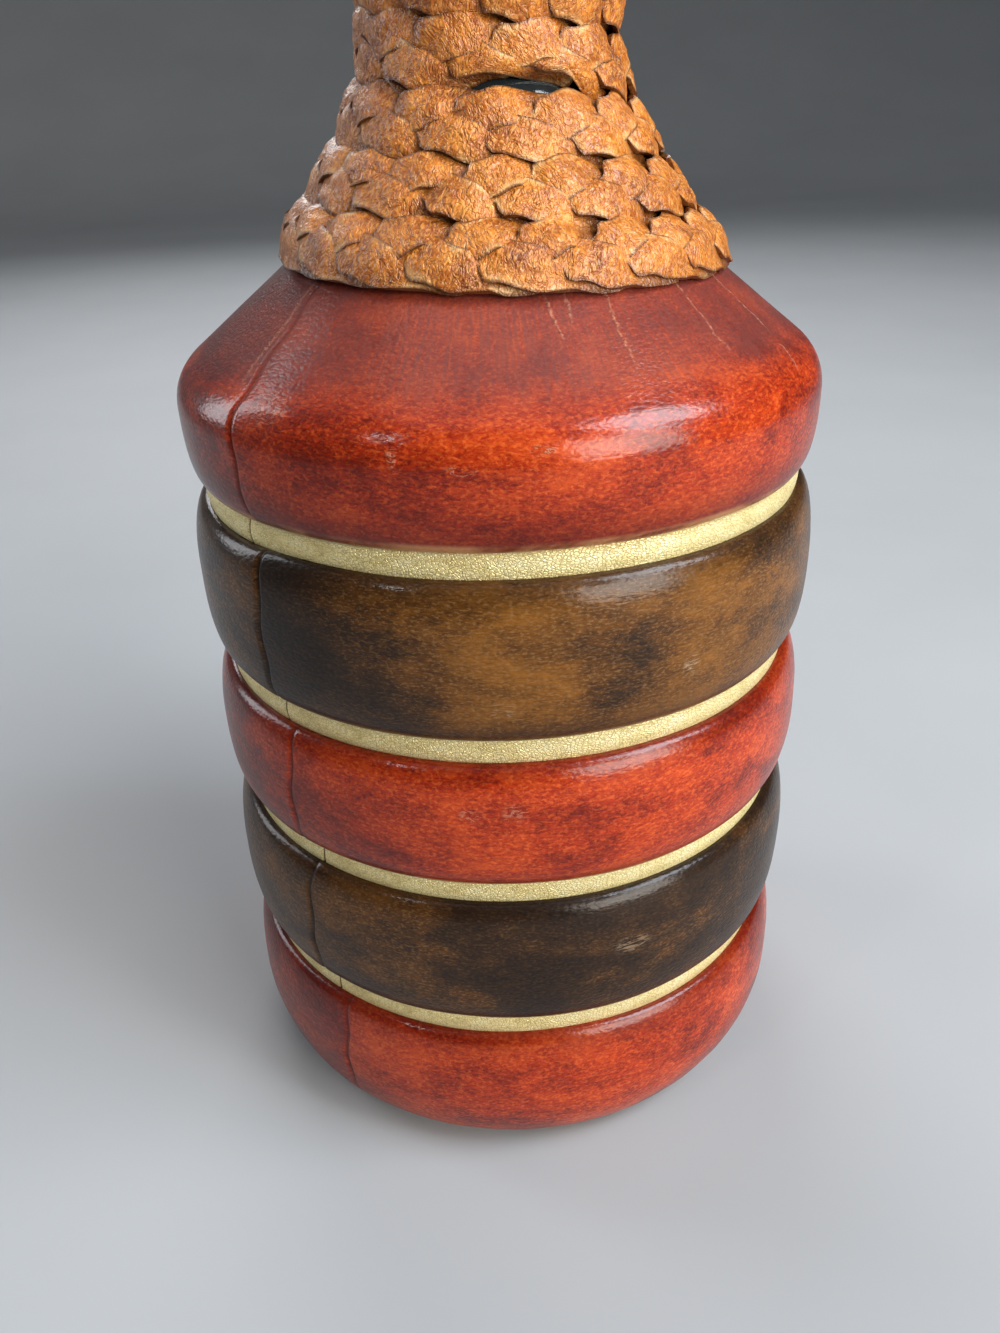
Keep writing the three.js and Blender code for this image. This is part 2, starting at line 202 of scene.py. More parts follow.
def wrapped_leather(profile, outer_run, seam, uneven, seed, wavy=(0.0, 0.0)):
    """A turned leather ring with a lapped seam, gentle unevenness, and a map along and across the strip.

    The outer side comes first along the profile. Only it leaves the turned shape.
    """
    bm = turned(profile, WRAP_STEPS, True)
    along = bm.verts.layers.float["along"]
    turn_at = bm.verts.layers.float.new("turn_at")
    for vert in bm.verts:
        share = (math.atan2(vert.co.y, vert.co.x) / (2 * math.pi)) % 1.0
        packed = share - SEAM_CROWDING * math.sin(2 * math.pi * share) / (2 * math.pi)
        vert[turn_at] = packed
        run = vert[along]
        radius = math.hypot(vert.co.x, vert.co.y)
        away = ((packed + 0.5) % 1.0 - 0.5) * 2 * math.pi * radius / MM
        angle = math.radians(seam.degrees) + 2 * math.pi * packed
        out = 0.0
        rise = 0.0
        if run <= outer_run:
            bend = seam.slant * (run / outer_run - 0.5) + SEAM_WAVE * math.sin(run * SEAM_WAVE_RATE + seed)
            angle += bend * math.exp(-abs(away) / SEAM_BEND_FADE) * MM / max(radius, MM)
            ease = math.sin(math.pi * min(1.0, max(0.0, run / outer_run))) ** 0.5
            spot = Vector((math.cos(angle), math.sin(angle), run / 60.0))
            broad = noise.noise(spot * 2.2 + Vector((seed, 0, 0)))
            ripple = noise.noise(Vector((spot.x * 9, spot.y * 9, run * 0.12 + seed)))
            out = ease * (uneven * (broad + RIPPLE_SHARE * ripple) + seam_ruffle(away, seam))
            rise = edge_wave(angle, run, outer_run, seed, wavy)
        reach = radius + out * MM
        vert.co = Vector((reach * math.cos(angle), reach * math.sin(angle), vert.co.z + rise * MM))
    wrap = bm.loops.layers.uv.new("wrap")
    for face in bm.faces:
        turns = [loop.vert[turn_at] for loop in face.loops]
        crosses = max(turns) - min(turns) > 0.5
        for loop, turn in zip(face.loops, turns):
            if crosses and turn < 0.5:
                turn += 1.0
            loop[wrap].uv = (turn * BAND_LENGTH, loop.vert[along] * MM)
    return bm


# Nodes of the finishes

def finish(name):
    material = bpy.data.materials.new(name)
    material.use_nodes = True
    return material, material.node_tree, material.node_tree.nodes["Principled BSDF"]


def put(tree, socket, value):
    """Links a socket to another one, or sets its value."""
    if isinstance(value, bpy.types.NodeSocket):
        tree.links.new(value, socket)
    else:
        socket.default_value = value


def dress(tree, node, **inputs):
    """Links or sets inputs of a node, named with underscores for spaces."""
    for key, value in inputs.items():
        put(tree, node.inputs[key.replace("_", " ")], value)


def add(tree, kind, settings=None, **inputs):
    node = tree.nodes.new(kind)
    for key, value in (settings or {}).items():
        setattr(node, key, value)
    dress(tree, node, **inputs)
    return node


def object_place(tree):
    return add(tree, "ShaderNodeTexCoord").outputs["Object"]


def surface_map(tree, name):
    return add(tree, "ShaderNodeUVMap", {"uv_map": name}).outputs["UV"]


def noted(tree, name):
    """A value noted on the piece's vertices."""
    return add(tree, "ShaderNodeAttribute", {"attribute_name": name}).outputs["Fac"]


def maths(tree, operation, a, b=0.0):
    node = add(tree, "ShaderNodeMath", {"operation": operation})
    put(tree, node.inputs[0], a)
    put(tree, node.inputs[1], b)
    return node.outputs[0]


def plus(tree, a, b):
    return maths(tree, "ADD", a, b)


def minus(tree, a, b):
    return maths(tree, "SUBTRACT", a, b)


def times(tree, a, b):
    return maths(tree, "MULTIPLY", a, b)


def apart(tree, a, b):
    return maths(tree, "ABSOLUTE", minus(tree, a, b))


def stretched(tree, vector, scale, shift=(0.0, 0.0, 0.0)):
    return add(tree, "ShaderNodeMapping", Vector=vector, Scale=scale, Location=shift).outputs["Vector"]


def noise_over(tree, vector, scale, detail=3.0, roughness=0.55, distortion=0.0, shift=(0.0, 0.0, 0.0)):
    """Noise with its own scale along each axis."""
    node = add(tree, "ShaderNodeTexNoise", Vector=stretched(tree, vector, scale, shift), Scale=1.0,
               Detail=detail, Roughness=roughness, Distortion=distortion)
    return node.outputs["Fac"]


def ramp(tree, fac, stops):
    node = add(tree, "ShaderNodeValToRGB", Fac=fac)
    elements = node.color_ramp.elements
    while len(elements) < len(stops):
        elements.new(0.5)
    for element, (position, colour) in zip(elements, stops):
        element.position = position
        element.color = (*colour, 1.0)
    return node.outputs["Color"]


def level(tree, fac, low, high, start=0.0, end=1.0):
    """Spreads a value between two levels, smoothly and clamped."""
    node = add(tree, "ShaderNodeMapRange", {"interpolation_type": "SMOOTHSTEP"}, Value=fac,
               From_Min=low, From_Max=high, To_Min=start, To_Max=end)
    return node.outputs["Result"]


def mixed(tree, fac, a, b):
    """Mixes two colours, each a socket or three numbers."""
    node = add(tree, "ShaderNodeMix", {"data_type": "RGBA"})
    put(tree, node.inputs[0], fac)
    for socket, value in ((node.inputs[6], a), (node.inputs[7], b)):
        put(tree, socket, value if isinstance(value, bpy.types.NodeSocket) else (*value, 1.0))
    return node.outputs[2]


def bump(tree, height, distance, strength, under=None):
    node = add(tree, "ShaderNodeBump", Height=height, Distance=distance, Strength=strength)
    if under is not None:
        dress(tree, node, Normal=under)
    return node.outputs["Normal"]


# Finishes

RED = {
    "stops": [(0.28, (0.055, 0.003, 0.001)), (0.44, (0.155, 0.008, 0.002)),
              (0.56, (0.31, 0.021, 0.003)), (0.71, (0.50, 0.060, 0.008))],
    "streak": 0.42,
    "fibre_scale": (620, 1500, 1),
    "vein": (0.57, 0.090, 0.013),
    "vein_scale": (620, 950, 1),
    "vein_share": 0.32,
    "fleck": (0.64, 0.115, 0.020),
    "fleck_scale": (1150, 1750, 1),
    "fleck_share": 0.46,
    "worn": (0.46, 0.18, 0.11),
    "rim": 0.85,
    "coat": 0.60,
}
BROWN = {
    "stops": [(0.30, (0.010, 0.005, 0.003)), (0.46, (0.026, 0.011, 0.004)),
              (0.58, (0.080, 0.028, 0.004)), (0.76, (0.21, 0.078, 0.009))],
    "streak": 0.28,
    "fibre_scale": (380, 2000, 1),
    "vein": (0.17, 0.080, 0.022),
    "vein_scale": (420, 1500, 1),
    "vein_share": 0.3,
    "fleck": (0.24, 0.125, 0.045),
    "fleck_scale": (1300, 2600, 1),
    "fleck_share": 0.45,
    "worn": (0.38, 0.26, 0.16),
    "rim": 0.3,
    "coat": 0.45,
}
RAW_EDGE = (0.44, 0.21, 0.09)
# Colour of the painted sky reflection over the shoulder's slope
SLOPE_PAINTED_REFLECTION = (0.142, 0.043, 0.036)


def patched(tree, tone, u, patches):
    """Lightens or darkens a tone round places along the strip, as shares of its length."""
    for place, reach, amount in patches:
        spread = apart(tree, u, place * BAND_LENGTH)
        tone = plus(tree, tone, level(tree, spread, reach * BAND_LENGTH, 0.0, 0.0, amount))
    return tone


def crease_line(tree, u, v, turn, start, end, slant, width):
    """A thin tapering line across the strip, from one place on it to another, in metres."""
    run = maths(tree, "DIVIDE", minus(tree, v, start), end - start)
    centre = plus(tree, times(tree, run, slant), turn)
    within = times(tree, level(tree, run, -0.03, 0.06), level(tree, run, 1.0, 0.75))
    return times(tree, level(tree, apart(tree, u, centre), width, 0.0), within)


def scuff_patch(tree, u, v, fibre, place, across, reach, rise, strength):
    """A rubbed patch with a torn look, round a place on the strip, in metres."""
    du = maths(tree, "DIVIDE", minus(tree, u, place), reach)
    dv = maths(tree, "DIVIDE", minus(tree, v, across), rise)
    far = plus(tree, times(tree, du, du), times(tree, dv, dv))
    return times(tree, level(tree, far, 1.0, 0.1, 0.0, strength), level(tree, fibre, 0.50, 0.62))


def strongest(tree, masks):
    result = masks[0]
    for mask in masks[1:]:
        result = maths(tree, "MAXIMUM", result, mask)
    return result


def worn_marks(tree, u, v, fibre, blotch, creases, scuffs):
    """A mask of the creases and scuffs, or nothing where a strip has none."""
    marks = []
    if creases:
        wavering = plus(tree, u, times(tree, minus(tree, blotch, 0.5), 0.0035))
        lines = strongest(tree, [crease_line(tree, wavering, v, *mark) for mark in creases])
        marks.append(times(tree, lines, level(tree, fibre, 0.38, 0.62, 0.12, 0.8)))
    marks += [scuff_patch(tree, u, v, fibre, *mark) for mark in scuffs]
    return strongest(tree, marks) if marks else None


def banded_leather(name, hide, patches, seed, creases=(), scuffs=(), slope_from=None):
    """Polished hide: mottled colour, pale grain, pores, painted shade at the edges and seam, a painted sky
    reflection on the slope, a raw lower edge and worn marks.

    The map runs along the strip from its seam, and across it from its lower edge, in metres.
    """
    material, tree, shader = finish(name)
    wrap = surface_map(tree, "wrap")
    parts = add(tree, "ShaderNodeSeparateXYZ", Vector=wrap)
    u, v = parts.outputs["X"], parts.outputs["Y"]
    shift = (seed * 0.31, seed * 0.17, seed * 0.05)

    def noisy(scale, *kind):
        return noise_over(tree, wrap, scale, *kind, shift=shift)

    cloud = noisy((38, 75, 1), 4.0, 0.6, 0.6)
    blotch = noisy((150, 230, 1), 4.0, 0.65, 0.4)
    fibre = noisy(hide["fibre_scale"], 3.0, 0.6, 1.0)
    worm = noisy(hide["vein_scale"], 2.0, 0.5, 1.2)
    pore = add(tree, "ShaderNodeTexVoronoi", {"feature": "SMOOTH_F1"}, Scale=1.0, Randomness=1.0,
               Smoothness=0.35, Vector=stretched(tree, wrap, (1050, 1750, 1), shift)).outputs["Distance"]

    # Mottled colour with veins and flecks
    tone = patched(tree, plus(tree, times(tree, cloud, 0.66), times(tree, blotch, 0.34)), u, patches)
    streaked = plus(tree, tone, times(tree, minus(tree, fibre, 0.5), hide["streak"]))
    colour = ramp(tree, streaked, hide["stops"])
    shown = level(tree, tone, 0.36, 0.62, 0.15, 1.0)
    ridge = level(tree, apart(tree, worm, 0.5), 0.075, 0.0)
    colour = mixed(tree, times(tree, times(tree, ridge, shown), hide["vein_share"]), colour, hide["vein"])
    spots = level(tree, noisy(hide["fleck_scale"], 2.0, 0.5), 0.53, 0.63)
    colour = mixed(tree, times(tree, times(tree, spots, shown), hide["fleck_share"]), colour, hide["fleck"])

    # Painted shade at the edges and along the seam, and dark pores
    dark = hide["stops"][0][1]
    # Painted shade: the leather darkens towards both edges of the strip, where it turns into the grooves; on
    # the shoulder it stops where the slope begins.
    edge = plus(tree, noted(tree, "edge"), times(tree, blotch, 0.3))
    edge_shade = level(tree, edge, 0.62, 1.2, 0.0, 0.75)
    if slope_from is not None:
        edge_shade = times(tree, edge_shade, level(tree, v, slope_from + 0.004, slope_from - 0.002))
    colour = mixed(tree, edge_shade, colour, dark)
    colour = mixed(tree, level(tree, pore, 0.55, 0.95, 0.0, 0.25), colour, dark)
    from_seam = maths(tree, "MINIMUM", u, apart(tree, u, BAND_LENGTH))
    # Painted shade: a dark line in the seam's furrow, up to about 0.6 mm either side of the seam.
    colour = mixed(tree, level(tree, from_seam, 0.0006, 0.0001, 0.0, 0.55), colour, dark)
    if slope_from is not None:
        # Painted reflection of the sky: a mauve veil over the shoulder's slope, broken into radial streaks.
        strand = level(tree, noisy((1500, 95, 1), 3.0, 0.6), 0.3, 0.75, 0.45, 0.85)
        sky_reflection = times(tree, level(tree, v, slope_from - 0.004, slope_from + 0.006), strand)
        colour = mixed(tree, sky_reflection, colour, SLOPE_PAINTED_REFLECTION)

    # Relief, wear and the raw edge
    rough = plus(tree, times(tree, blotch, 0.25), 0.34)
    grain = plus(tree, times(tree, pore, -0.8), fibre)
    skin = bump(tree, blotch, 0.0006, 0.12, bump(tree, grain, 0.00022, 0.5))
    worn = worn_marks(tree, u, v, fibre, blotch, creases, scuffs)
    if worn is not None:
        colour = mixed(tree, worn, colour, hide["worn"])
        rough = plus(tree, rough, times(tree, worn, 0.25))
        skin = bump(tree, worn, 0.0003, 0.6, skin)
    raw = level(tree, noted(tree, "raw"), 0.36, 0.52)
    rubbed = times(tree, raw, level(tree, cloud, 0.40, 0.56, 0.1, hide["rim"]))
    colour = mixed(tree, rubbed, colour, RAW_EDGE)
    dress(tree, shader, Base_Color=colour, Roughness=rough, Normal=skin, Specular_IOR_Level=0.05,
          Coat_Normal=bump(tree, grain, 0.00014, 0.25), Coat_Weight=hide["coat"], Coat_Roughness=0.17,
          Coat_IOR=1.5)
    return material


def gilt_foil():
    """Pale gold foil with a fine crackle and brighter rubbed edges."""
    material, tree, shader = finish("gilt_foil")
    wrap = surface_map(tree, "wrap")
    crackle = add(tree, "ShaderNodeTexVoronoi", {"feature": "DISTANCE_TO_EDGE"}, Scale=1.0, Randomness=1.0,
                  Vector=stretched(tree, wrap, (1500, 2300, 1))).outputs["Distance"]
    cracks = level(tree, crackle, 0.16, 0.0)
    tarnish = noise_over(tree, wrap, (170, 420, 1), 5.0, 0.65, 0.5)
    fleck = noise_over(tree, wrap, (2400, 3600, 1), 2.0)
    colour = ramp(tree, tarnish, [(0.28, (0.68, 0.54, 0.22)), (0.5, (0.92, 0.77, 0.37)),
                                  (0.72, (0.97, 0.89, 0.55))])
    colour = mixed(tree, times(tree, cracks, 0.55), colour, (0.42, 0.32, 0.12))
    edge = level(tree, noted(tree, "edge"), 0.72, 1.0, 0.0, 0.5)
    colour = mixed(tree, edge, colour, (0.95, 0.86, 0.52))
    brim = level(tree, noted(tree, "brim"), 0.76, 0.86, 0.0, 0.8)
    colour = mixed(tree, brim, colour, (0.52, 0.30, 0.12))
    joint = level(tree, noted(tree, "raw"), 0.4, 0.9)
    colour = mixed(tree, joint, colour, (0.16, 0.085, 0.04))
    rough = plus(tree, plus(tree, times(tree, fleck, 0.25), 0.24), times(tree, cracks, 0.2))
    height = minus(tree, fleck, times(tree, cracks, 0.7))
    dress(tree, shader, Base_Color=colour, Roughness=rough, Metallic=0.45,
          Normal=bump(tree, height, 0.0002, 0.7))
    return material


def plaited_leather():
    """Tan strips: painted shade where they run under one another and in the net-like wrinkles, rubbed pale
    edges, dark edge lines and fine pale grain.
    """
    material, tree, shader = finish("plaited_tan_leather")
    strip = surface_map(tree, "strip")
    place = object_place(tree)
    mottle = noise_over(tree, place, (150, 150, 150), 4.0, 0.62, 0.5)
    stain = noise_over(tree, place, (420, 420, 420), 4.0, 0.6, 0.3)
    crease = noise_over(tree, strip, (1150, 620, 1), 3.0, 0.6, 1.8)
    pucker = noise_over(tree, strip, (420, 300, 1), 3.0, 0.55, 0.8)
    net = noise_over(tree, strip, (1050, 760, 1), 2.0, 0.55, 0.9)
    grain = noise_over(tree, strip, (2000, 1450, 1), 2.0, 0.6, 0.7)
    crinkle = level(tree, apart(tree, net, 0.5), 0.0, 0.11)
    tone = plus(tree, times(tree, mottle, 0.55), times(tree, stain, 0.35))
    tone = plus(tree, tone, times(tree, crease, 0.10))
    colour = ramp(tree, tone, [(0.34, (0.17, 0.035, 0.003)), (0.46, (0.37, 0.092, 0.006)),
                               (0.56, (0.55, 0.168, 0.014)), (0.70, (0.73, 0.30, 0.048))])
    colour = mixed(tree, level(tree, grain, 0.46, 0.60, 0.0, 0.42), colour, (0.86, 0.39, 0.080))
    # Painted shade where a strip runs under the other two.
    under_shade = level(tree, noted(tree, "sunk"), 0.45, 1.0, 0.0, 0.7)
    colour = mixed(tree, under_shade, colour, (0.13, 0.034, 0.004))
    # Painted shade in the furrows of the net-like wrinkles.
    furrow = level(tree, crinkle, 0.6, 0.0, 0.0, 0.35)
    colour = mixed(tree, furrow, colour, (0.20, 0.055, 0.006))
    edge = noted(tree, "edge")
    rim = times(tree, level(tree, edge, 0.58, 0.88, 0.0, 0.7), level(tree, mottle, 0.48, 0.62))
    colour = mixed(tree, rim, colour, (0.68, 0.40, 0.16))
    # A dark line at each strip's very edge: a darker cut edge, with painted shade between the strips.
    colour = mixed(tree, level(tree, edge, 0.84, 0.98, 0.0, 0.85), colour, (0.12, 0.036, 0.006))
    fold = bump(tree, crease, 0.0005, 0.45, bump(tree, pucker, 0.0013, 0.55))
    worked = bump(tree, crinkle, 0.00018, 0.65, bump(tree, grain, 0.00016, 0.5, fold))
    dress(tree, shader, Base_Color=colour, Roughness=plus(tree, times(tree, stain, 0.3), 0.22),
          Normal=worked, Coat_Normal=worked, Coat_Weight=0.36, Coat_Roughness=0.22, Specular_IOR_Level=0.4)
    return material


def smoked_glass():
    material, tree, shader = finish("smoked_glass")
    place = object_place(tree)
    wave = noise_over(tree, place, (45, 45, 22), 2.0)
    smear = noise_over(tree, place, (160, 160, 60), 4.0, 0.6)
    colour = ramp(tree, wave, [(0.3, (0.045, 0.060, 0.066)), (0.7, (0.075, 0.095, 0.10))])
    dress(tree, shader, Base_Color=colour, Roughness=level(tree, smear, 0.35, 0.75, 0.03, 0.12),
          Normal=bump(tree, wave, 0.002, 0.12), Transmission_Weight=0.6, IOR=1.5)
    return material


def pressed_card():
    material, tree, shader = finish("pressed_card")
    pulp = noise_over(tree, object_place(tree), (900, 900, 300), 4.0, 0.6)
    colour = ramp(tree, pulp, [(0.3, (0.20, 0.14, 0.085)), (0.7, (0.36, 0.27, 0.17))])
    dress(tree, shader, Base_Color=colour, Roughness=0.9, Normal=bump(tree, pulp, 0.0003, 0.4))
    return material


def dark_felt():
    material, tree, shader = finish("dark_felt")
    place = object_place(tree)
    fuzz = noise_over(tree, place, (1400, 1400, 1400), 5.0, 0.7, 1.0)
    tuft = noise_over(tree, place, (260, 260, 260), 3.0)
    tone = times(tree, plus(tree, fuzz, tuft), 0.5)
    colour = ramp(tree, tone, [(0.35, (0.012, 0.010, 0.008)), (0.65, (0.055, 0.046, 0.036))])
    dress(tree, shader, Base_Color=colour, Roughness=0.95, Sheen_Weight=0.3,
          Normal=bump(tree, fuzz, 0.0006, 0.8))
    return material


def natural_cork():
    material, tree, shader = finish("natural_cork")
    place = object_place(tree)
    cell = add(tree, "ShaderNodeTexVoronoi", Vector=stretched(tree, place, (900, 900, 600)), Scale=1.0)
    streak = noise_over(tree, place, (220, 220, 60), 5.0, 0.65, 0.8)
    pit = level(tree, noise_over(tree, place, (330, 330, 200), 3.0, 0.6), 0.62, 0.72)
    colour = ramp(tree, streak, [(0.3, (0.25, 0.13, 0.055)), (0.5, (0.44, 0.27, 0.13)),
                                 (0.7, (0.56, 0.38, 0.20))])
    colour = mixed(tree, times(tree, pit, 0.8), colour, (0.10, 0.045, 0.02))
    height = minus(tree, cell.outputs["Distance"], pit)
    dress(tree, shader, Base_Color=colour, Roughness=0.85, Normal=bump(tree, height, 0.0004, 0.5))
    return material


def turned_wood():
    material, tree, shader = finish("turned_wood")
    place = object_place(tree)
    bent = noise_over(tree, place, (60, 60, 12), 3.0, 0.5)
    warped = add(tree, "ShaderNodeMixRGB", {"blend_type": "ADD"}, Fac=0.02, Color1=place, Color2=bent)
    rings = add(tree, "ShaderNodeTexWave", {"wave_type": "BANDS", "bands_direction": "X"},
                Vector=warped.outputs[0], Scale=90.0, Distortion=3.0, Detail=3.0).outputs["Fac"]
    vessel = noise_over(tree, place, (1800, 1800, 120), 2.0)
    tone = plus(tree, times(tree, rings, 0.6), times(tree, vessel, 0.4))
    colour = ramp(tree, tone, [(0.2, (0.07, 0.028, 0.010)), (0.8, (0.24, 0.11, 0.045))])
    dress(tree, shader, Base_Color=colour, Roughness=0.5, Normal=bump(tree, vessel, 0.0002, 0.35))
    return material


# Leather bands

def mark_edges(bm, outer_run):
    """Notes on each vertex how near it is to the strip's edges, and where its raw lower edge is."""
    along = bm.verts.layers.float["along"]
    edge = bm.verts.layers.float.new("edge")
    raw = bm.verts.layers.float.new("raw")
    for vert in bm.verts:
        share = min(1.0, vert[along] / outer_run)
        # edge sets how much painted shade the hide gets towards the strip's two edges
        vert[edge] = abs(2 * share - 1)
        vert[raw] = max(0.0, 1.0 - vert[along] / RAW_EDGE_REACH)


def lining(edge, inwards):
    """Hidden inner points of a band behind one of its edges, from the groove to the full swell."""
    inside = BAND_RADIUS - LEATHER
    return [(STRIP_INNER, edge + inwards * LEATHER),
            (inside - 0.8, edge + inwards * (LEATHER + 1.2)),
            (inside, edge + inwards * (LEATHER + 4.0))]


def band_profile(node):
    """Outer points from the lower groove to the upper one, then the hidden inner ones."""
    low, high = node_span(node)
    full = (BAND_RADIUS + BAND_SWELL, (low + high) / 2)
    lower = curve_points((GROOVE_RADIUS, low), full, CROWN_POWER, 16)
    upper = curve_points((GROOVE_RADIUS, high), full, CROWN_POWER, 16)
    outer = spaced([(STRIP_INNER, low)] + lower + upper[::-1][1:] + [(STRIP_INNER, high)], 1.0)
    return outer, lining(high, -1) + lining(low, 1)[::-1]


def base_profile():
    _, high = node_span("base_red_leather")
    full = (BAND_RADIUS, HEM_HEIGHT + BOTTOM_ROUND_HEIGHT)
    under = curve_points((HEM_RADIUS, HEM_HEIGHT), full, ROUND_POWER, 20)
    upper = curve_points((GROOVE_RADIUS, high), full, CROWN_POWER, 16)
    outer = spaced(under + upper[::-1][1:] + [(STRIP_INNER, high)], 1.0)
    hem = curve_points((HEM_RADIUS, HEM_HEIGHT + LEATHER), (BAND_RADIUS - LEATHER, full[1]), ROUND_POWER, 8)
    return outer, lining(high, -1) + hem[::-1]


def on_slope(radius, lift):
    height = CORNER_HEIGHT + (BAND_RADIUS - radius) * math.tan(SLOPE)
    return radius + math.sin(SLOPE) * lift, height + math.cos(SLOPE) * lift


def shoulder_profile():
    low, _ = node_span("shoulder_red_leather")
    turn = math.pi / 2 - SLOPE
    side_top = CORNER_HEIGHT - SHOULDER_ROUND * math.tan(turn / 2)

    def side(drawn_in, steps):
        full = SHOULDER_RADIUS - 0.6 * drawn_in
        swell = curve_points((GROOVE_RADIUS, low + drawn_in), (full, side_top), CROWN_POWER, steps)
        round_over = arc_points((full - SHOULDER_ROUND, side_top), SHOULDER_ROUND, 0, turn, steps)
        return swell + round_over[1:] + [on_slope(SHOULDER_TOP_RADIUS, -drawn_in)]

    outer = spaced([(STRIP_INNER, low)] + side(0, 16), 1.0)
    return outer, side(LEATHER, 6)[::-1] + [(STRIP_INNER, low + LEATHER)]


def strip_turn(degrees, seam_degrees):
    """Distance along a strip, in metres, of an angle seen from above."""
    return ((degrees - seam_degrees) % 360) / 360 * BAND_LENGTH


def leather_band(name, profile, seam, seed, hide, patches, creases=(), scuffs=(), slope_from=None):
    """One band. A scuff is its angle, place across the strip, reach along and across it, and strength.

    Apart from the angle and the strength, a scuff's numbers are in metres.
    """
    outer, inner = profile
    run = run_of(outer)
    wavy = (0.0 if "base" in name else EDGE_WAVE, 0.0 if "shoulder" in name else EDGE_WAVE)
    bm = wrapped_leather(outer + inner, run, seam, BAND_UNEVEN, seed, wavy)
    mark_edges(bm, run)
    slot = "red_leather" if "red" in name else "brown_leather"
    marks = [(strip_turn(degrees, seam.degrees), *size) for degrees, *size in scuffs]
    material = banded_leather(name + "_hide", hide, patches, seed, creases, marks, slope_from)
    finished_piece(name + "_wrap", bm, material, "decanter", slot, name)


shoulder_seam = Seam(224.0, -3.0, 0.26, 0.2)
shoulder_run = run_of(shoulder_profile()[0])


def slope_run(radius):
    """Distance across the shoulder leather of a place on its slope, in metres."""
    return (shoulder_run - (radius - SHOULDER_TOP_RADIUS) / math.cos(SLOPE)) * MM


def slope_crease(top_degrees, top_radius, low_degrees, low_radius, width):
    turn = strip_turn(top_degrees, shoulder_seam.degrees)
    lean = strip_turn(low_degrees, shoulder_seam.degrees) - turn
    return turn, slope_run(top_radius), slope_run(low_radius), lean, width * MM


shoulder_creases = [
    slope_crease(280.6, 36.5, 282.6, 44.0, 0.55),
    slope_crease(285.6, 36.5, 284.8, 42.0, 0.5),
    slope_crease(294.9, 36.5, 293.6, 48.6, 0.6),
    slope_crease(316.4, 36.5, 315.3, 49.5, 0.55),
    slope_crease(334.4, 36.5, 333.2, 49.6, 0.55),
    slope_crease(333.0, 50.5, 329.2, 55.0, 0.5),
    slope_crease(221.5, 36.0, 221.2, 53.0, 0.8),
    slope_crease(62.0, 36.5, 63.5, 46.0, 0.5),
    slope_crease(118.0, 36.5, 117.0, 43.0, 0.5),
    slope_crease(170.0, 36.5, 171.5, 47.0, 0.55),
]
leather_band("shoulder_red_leather", shoulder_profile(), shoulder_seam, 1.0, RED,
             [(0.10, 0.16, 0.04), (0.20, 0.12, 0.05), (0.93, 0.10, -0.10)],
             shoulder_creases,
             [(275.9, 0.0175, 0.0022, 0.0012, 0.9), (254.3, 0.0172, 0.0010, 0.0030, 0.8),
              (264.3, 0.0150, 0.0030, 0.0010, 0.7), (231.0, 0.0215, 0.0050, 0.0035, 0.8)],
             slope_from=0.0238)
leather_band("upper_brown_leather", band_profile("upper_brown_leather"), Seam(226.2, 1.0, 0.22, 0.6),
             2.0, BROWN,
             [(0.125, 0.07, 0.17), (0.22, 0.07, 0.15), (0.29, 0.06, 0.10), (0.0, 0.07, -0.14),
              (0.62, 0.1, 0.1)],
             scuffs=[(268.9, 0.0095, 0.0035, 0.0016, 0.5), (300.2, 0.0120, 0.0020, 0.0030, 0.6)])
leather_band("middle_red_leather", band_profile("middle_red_leather"), Seam(228.5, 1.6, 0.2, 0.35), 3.0, RED,
             [(0.15, 0.2, 0.07), (0.30, 0.1, 0.05), (0.95, 0.08, -0.08)],
             scuffs=[(263.2, 0.0185, 0.0030, 0.0016, 0.6), (270.5, 0.0190, 0.0025, 0.0020, 0.6)])
leather_band("lower_brown_leather", band_profile("lower_brown_leather"), Seam(229.0, 0.8, 0.2, 0.45),
             4.0, BROWN,
             [(0.035, 0.05, 0.03), (0.14, 0.10, -0.08), (0.27, 0.08, -0.06), (0.7, 0.1, 0.12)],
             scuffs=[(290.8, 0.0185, 0.0045, 0.0022, 0.42)])
leather_band("base_red_leather", base_profile(), Seam(234.0, 1.0, 0.22, 0.35), 5.0, RED,
             [(0.14, 0.2, 0.08), (0.95, 0.08, -0.08)])


# Gilt strips

GILT_DEPTH = 0.9
GILT_SOFT = 0.35
GILT_CROWN = 0.28
GILT_LAP = 0.6
GILT_UNEVEN = 0.05
JOINT_SLANT = 0.3
JOINT_WIDTH = 0.28
JOINT_SINK = 0.35


def arched(radius, low, high):
    """Points between two heights of a strip, standing out in a shallow arch."""
    points = []
    for i in range(1, 8):
        share = i / 8
        points.append((radius + 4 * GILT_CROWN * share * (1 - share), low + (high - low) * share))
    return points


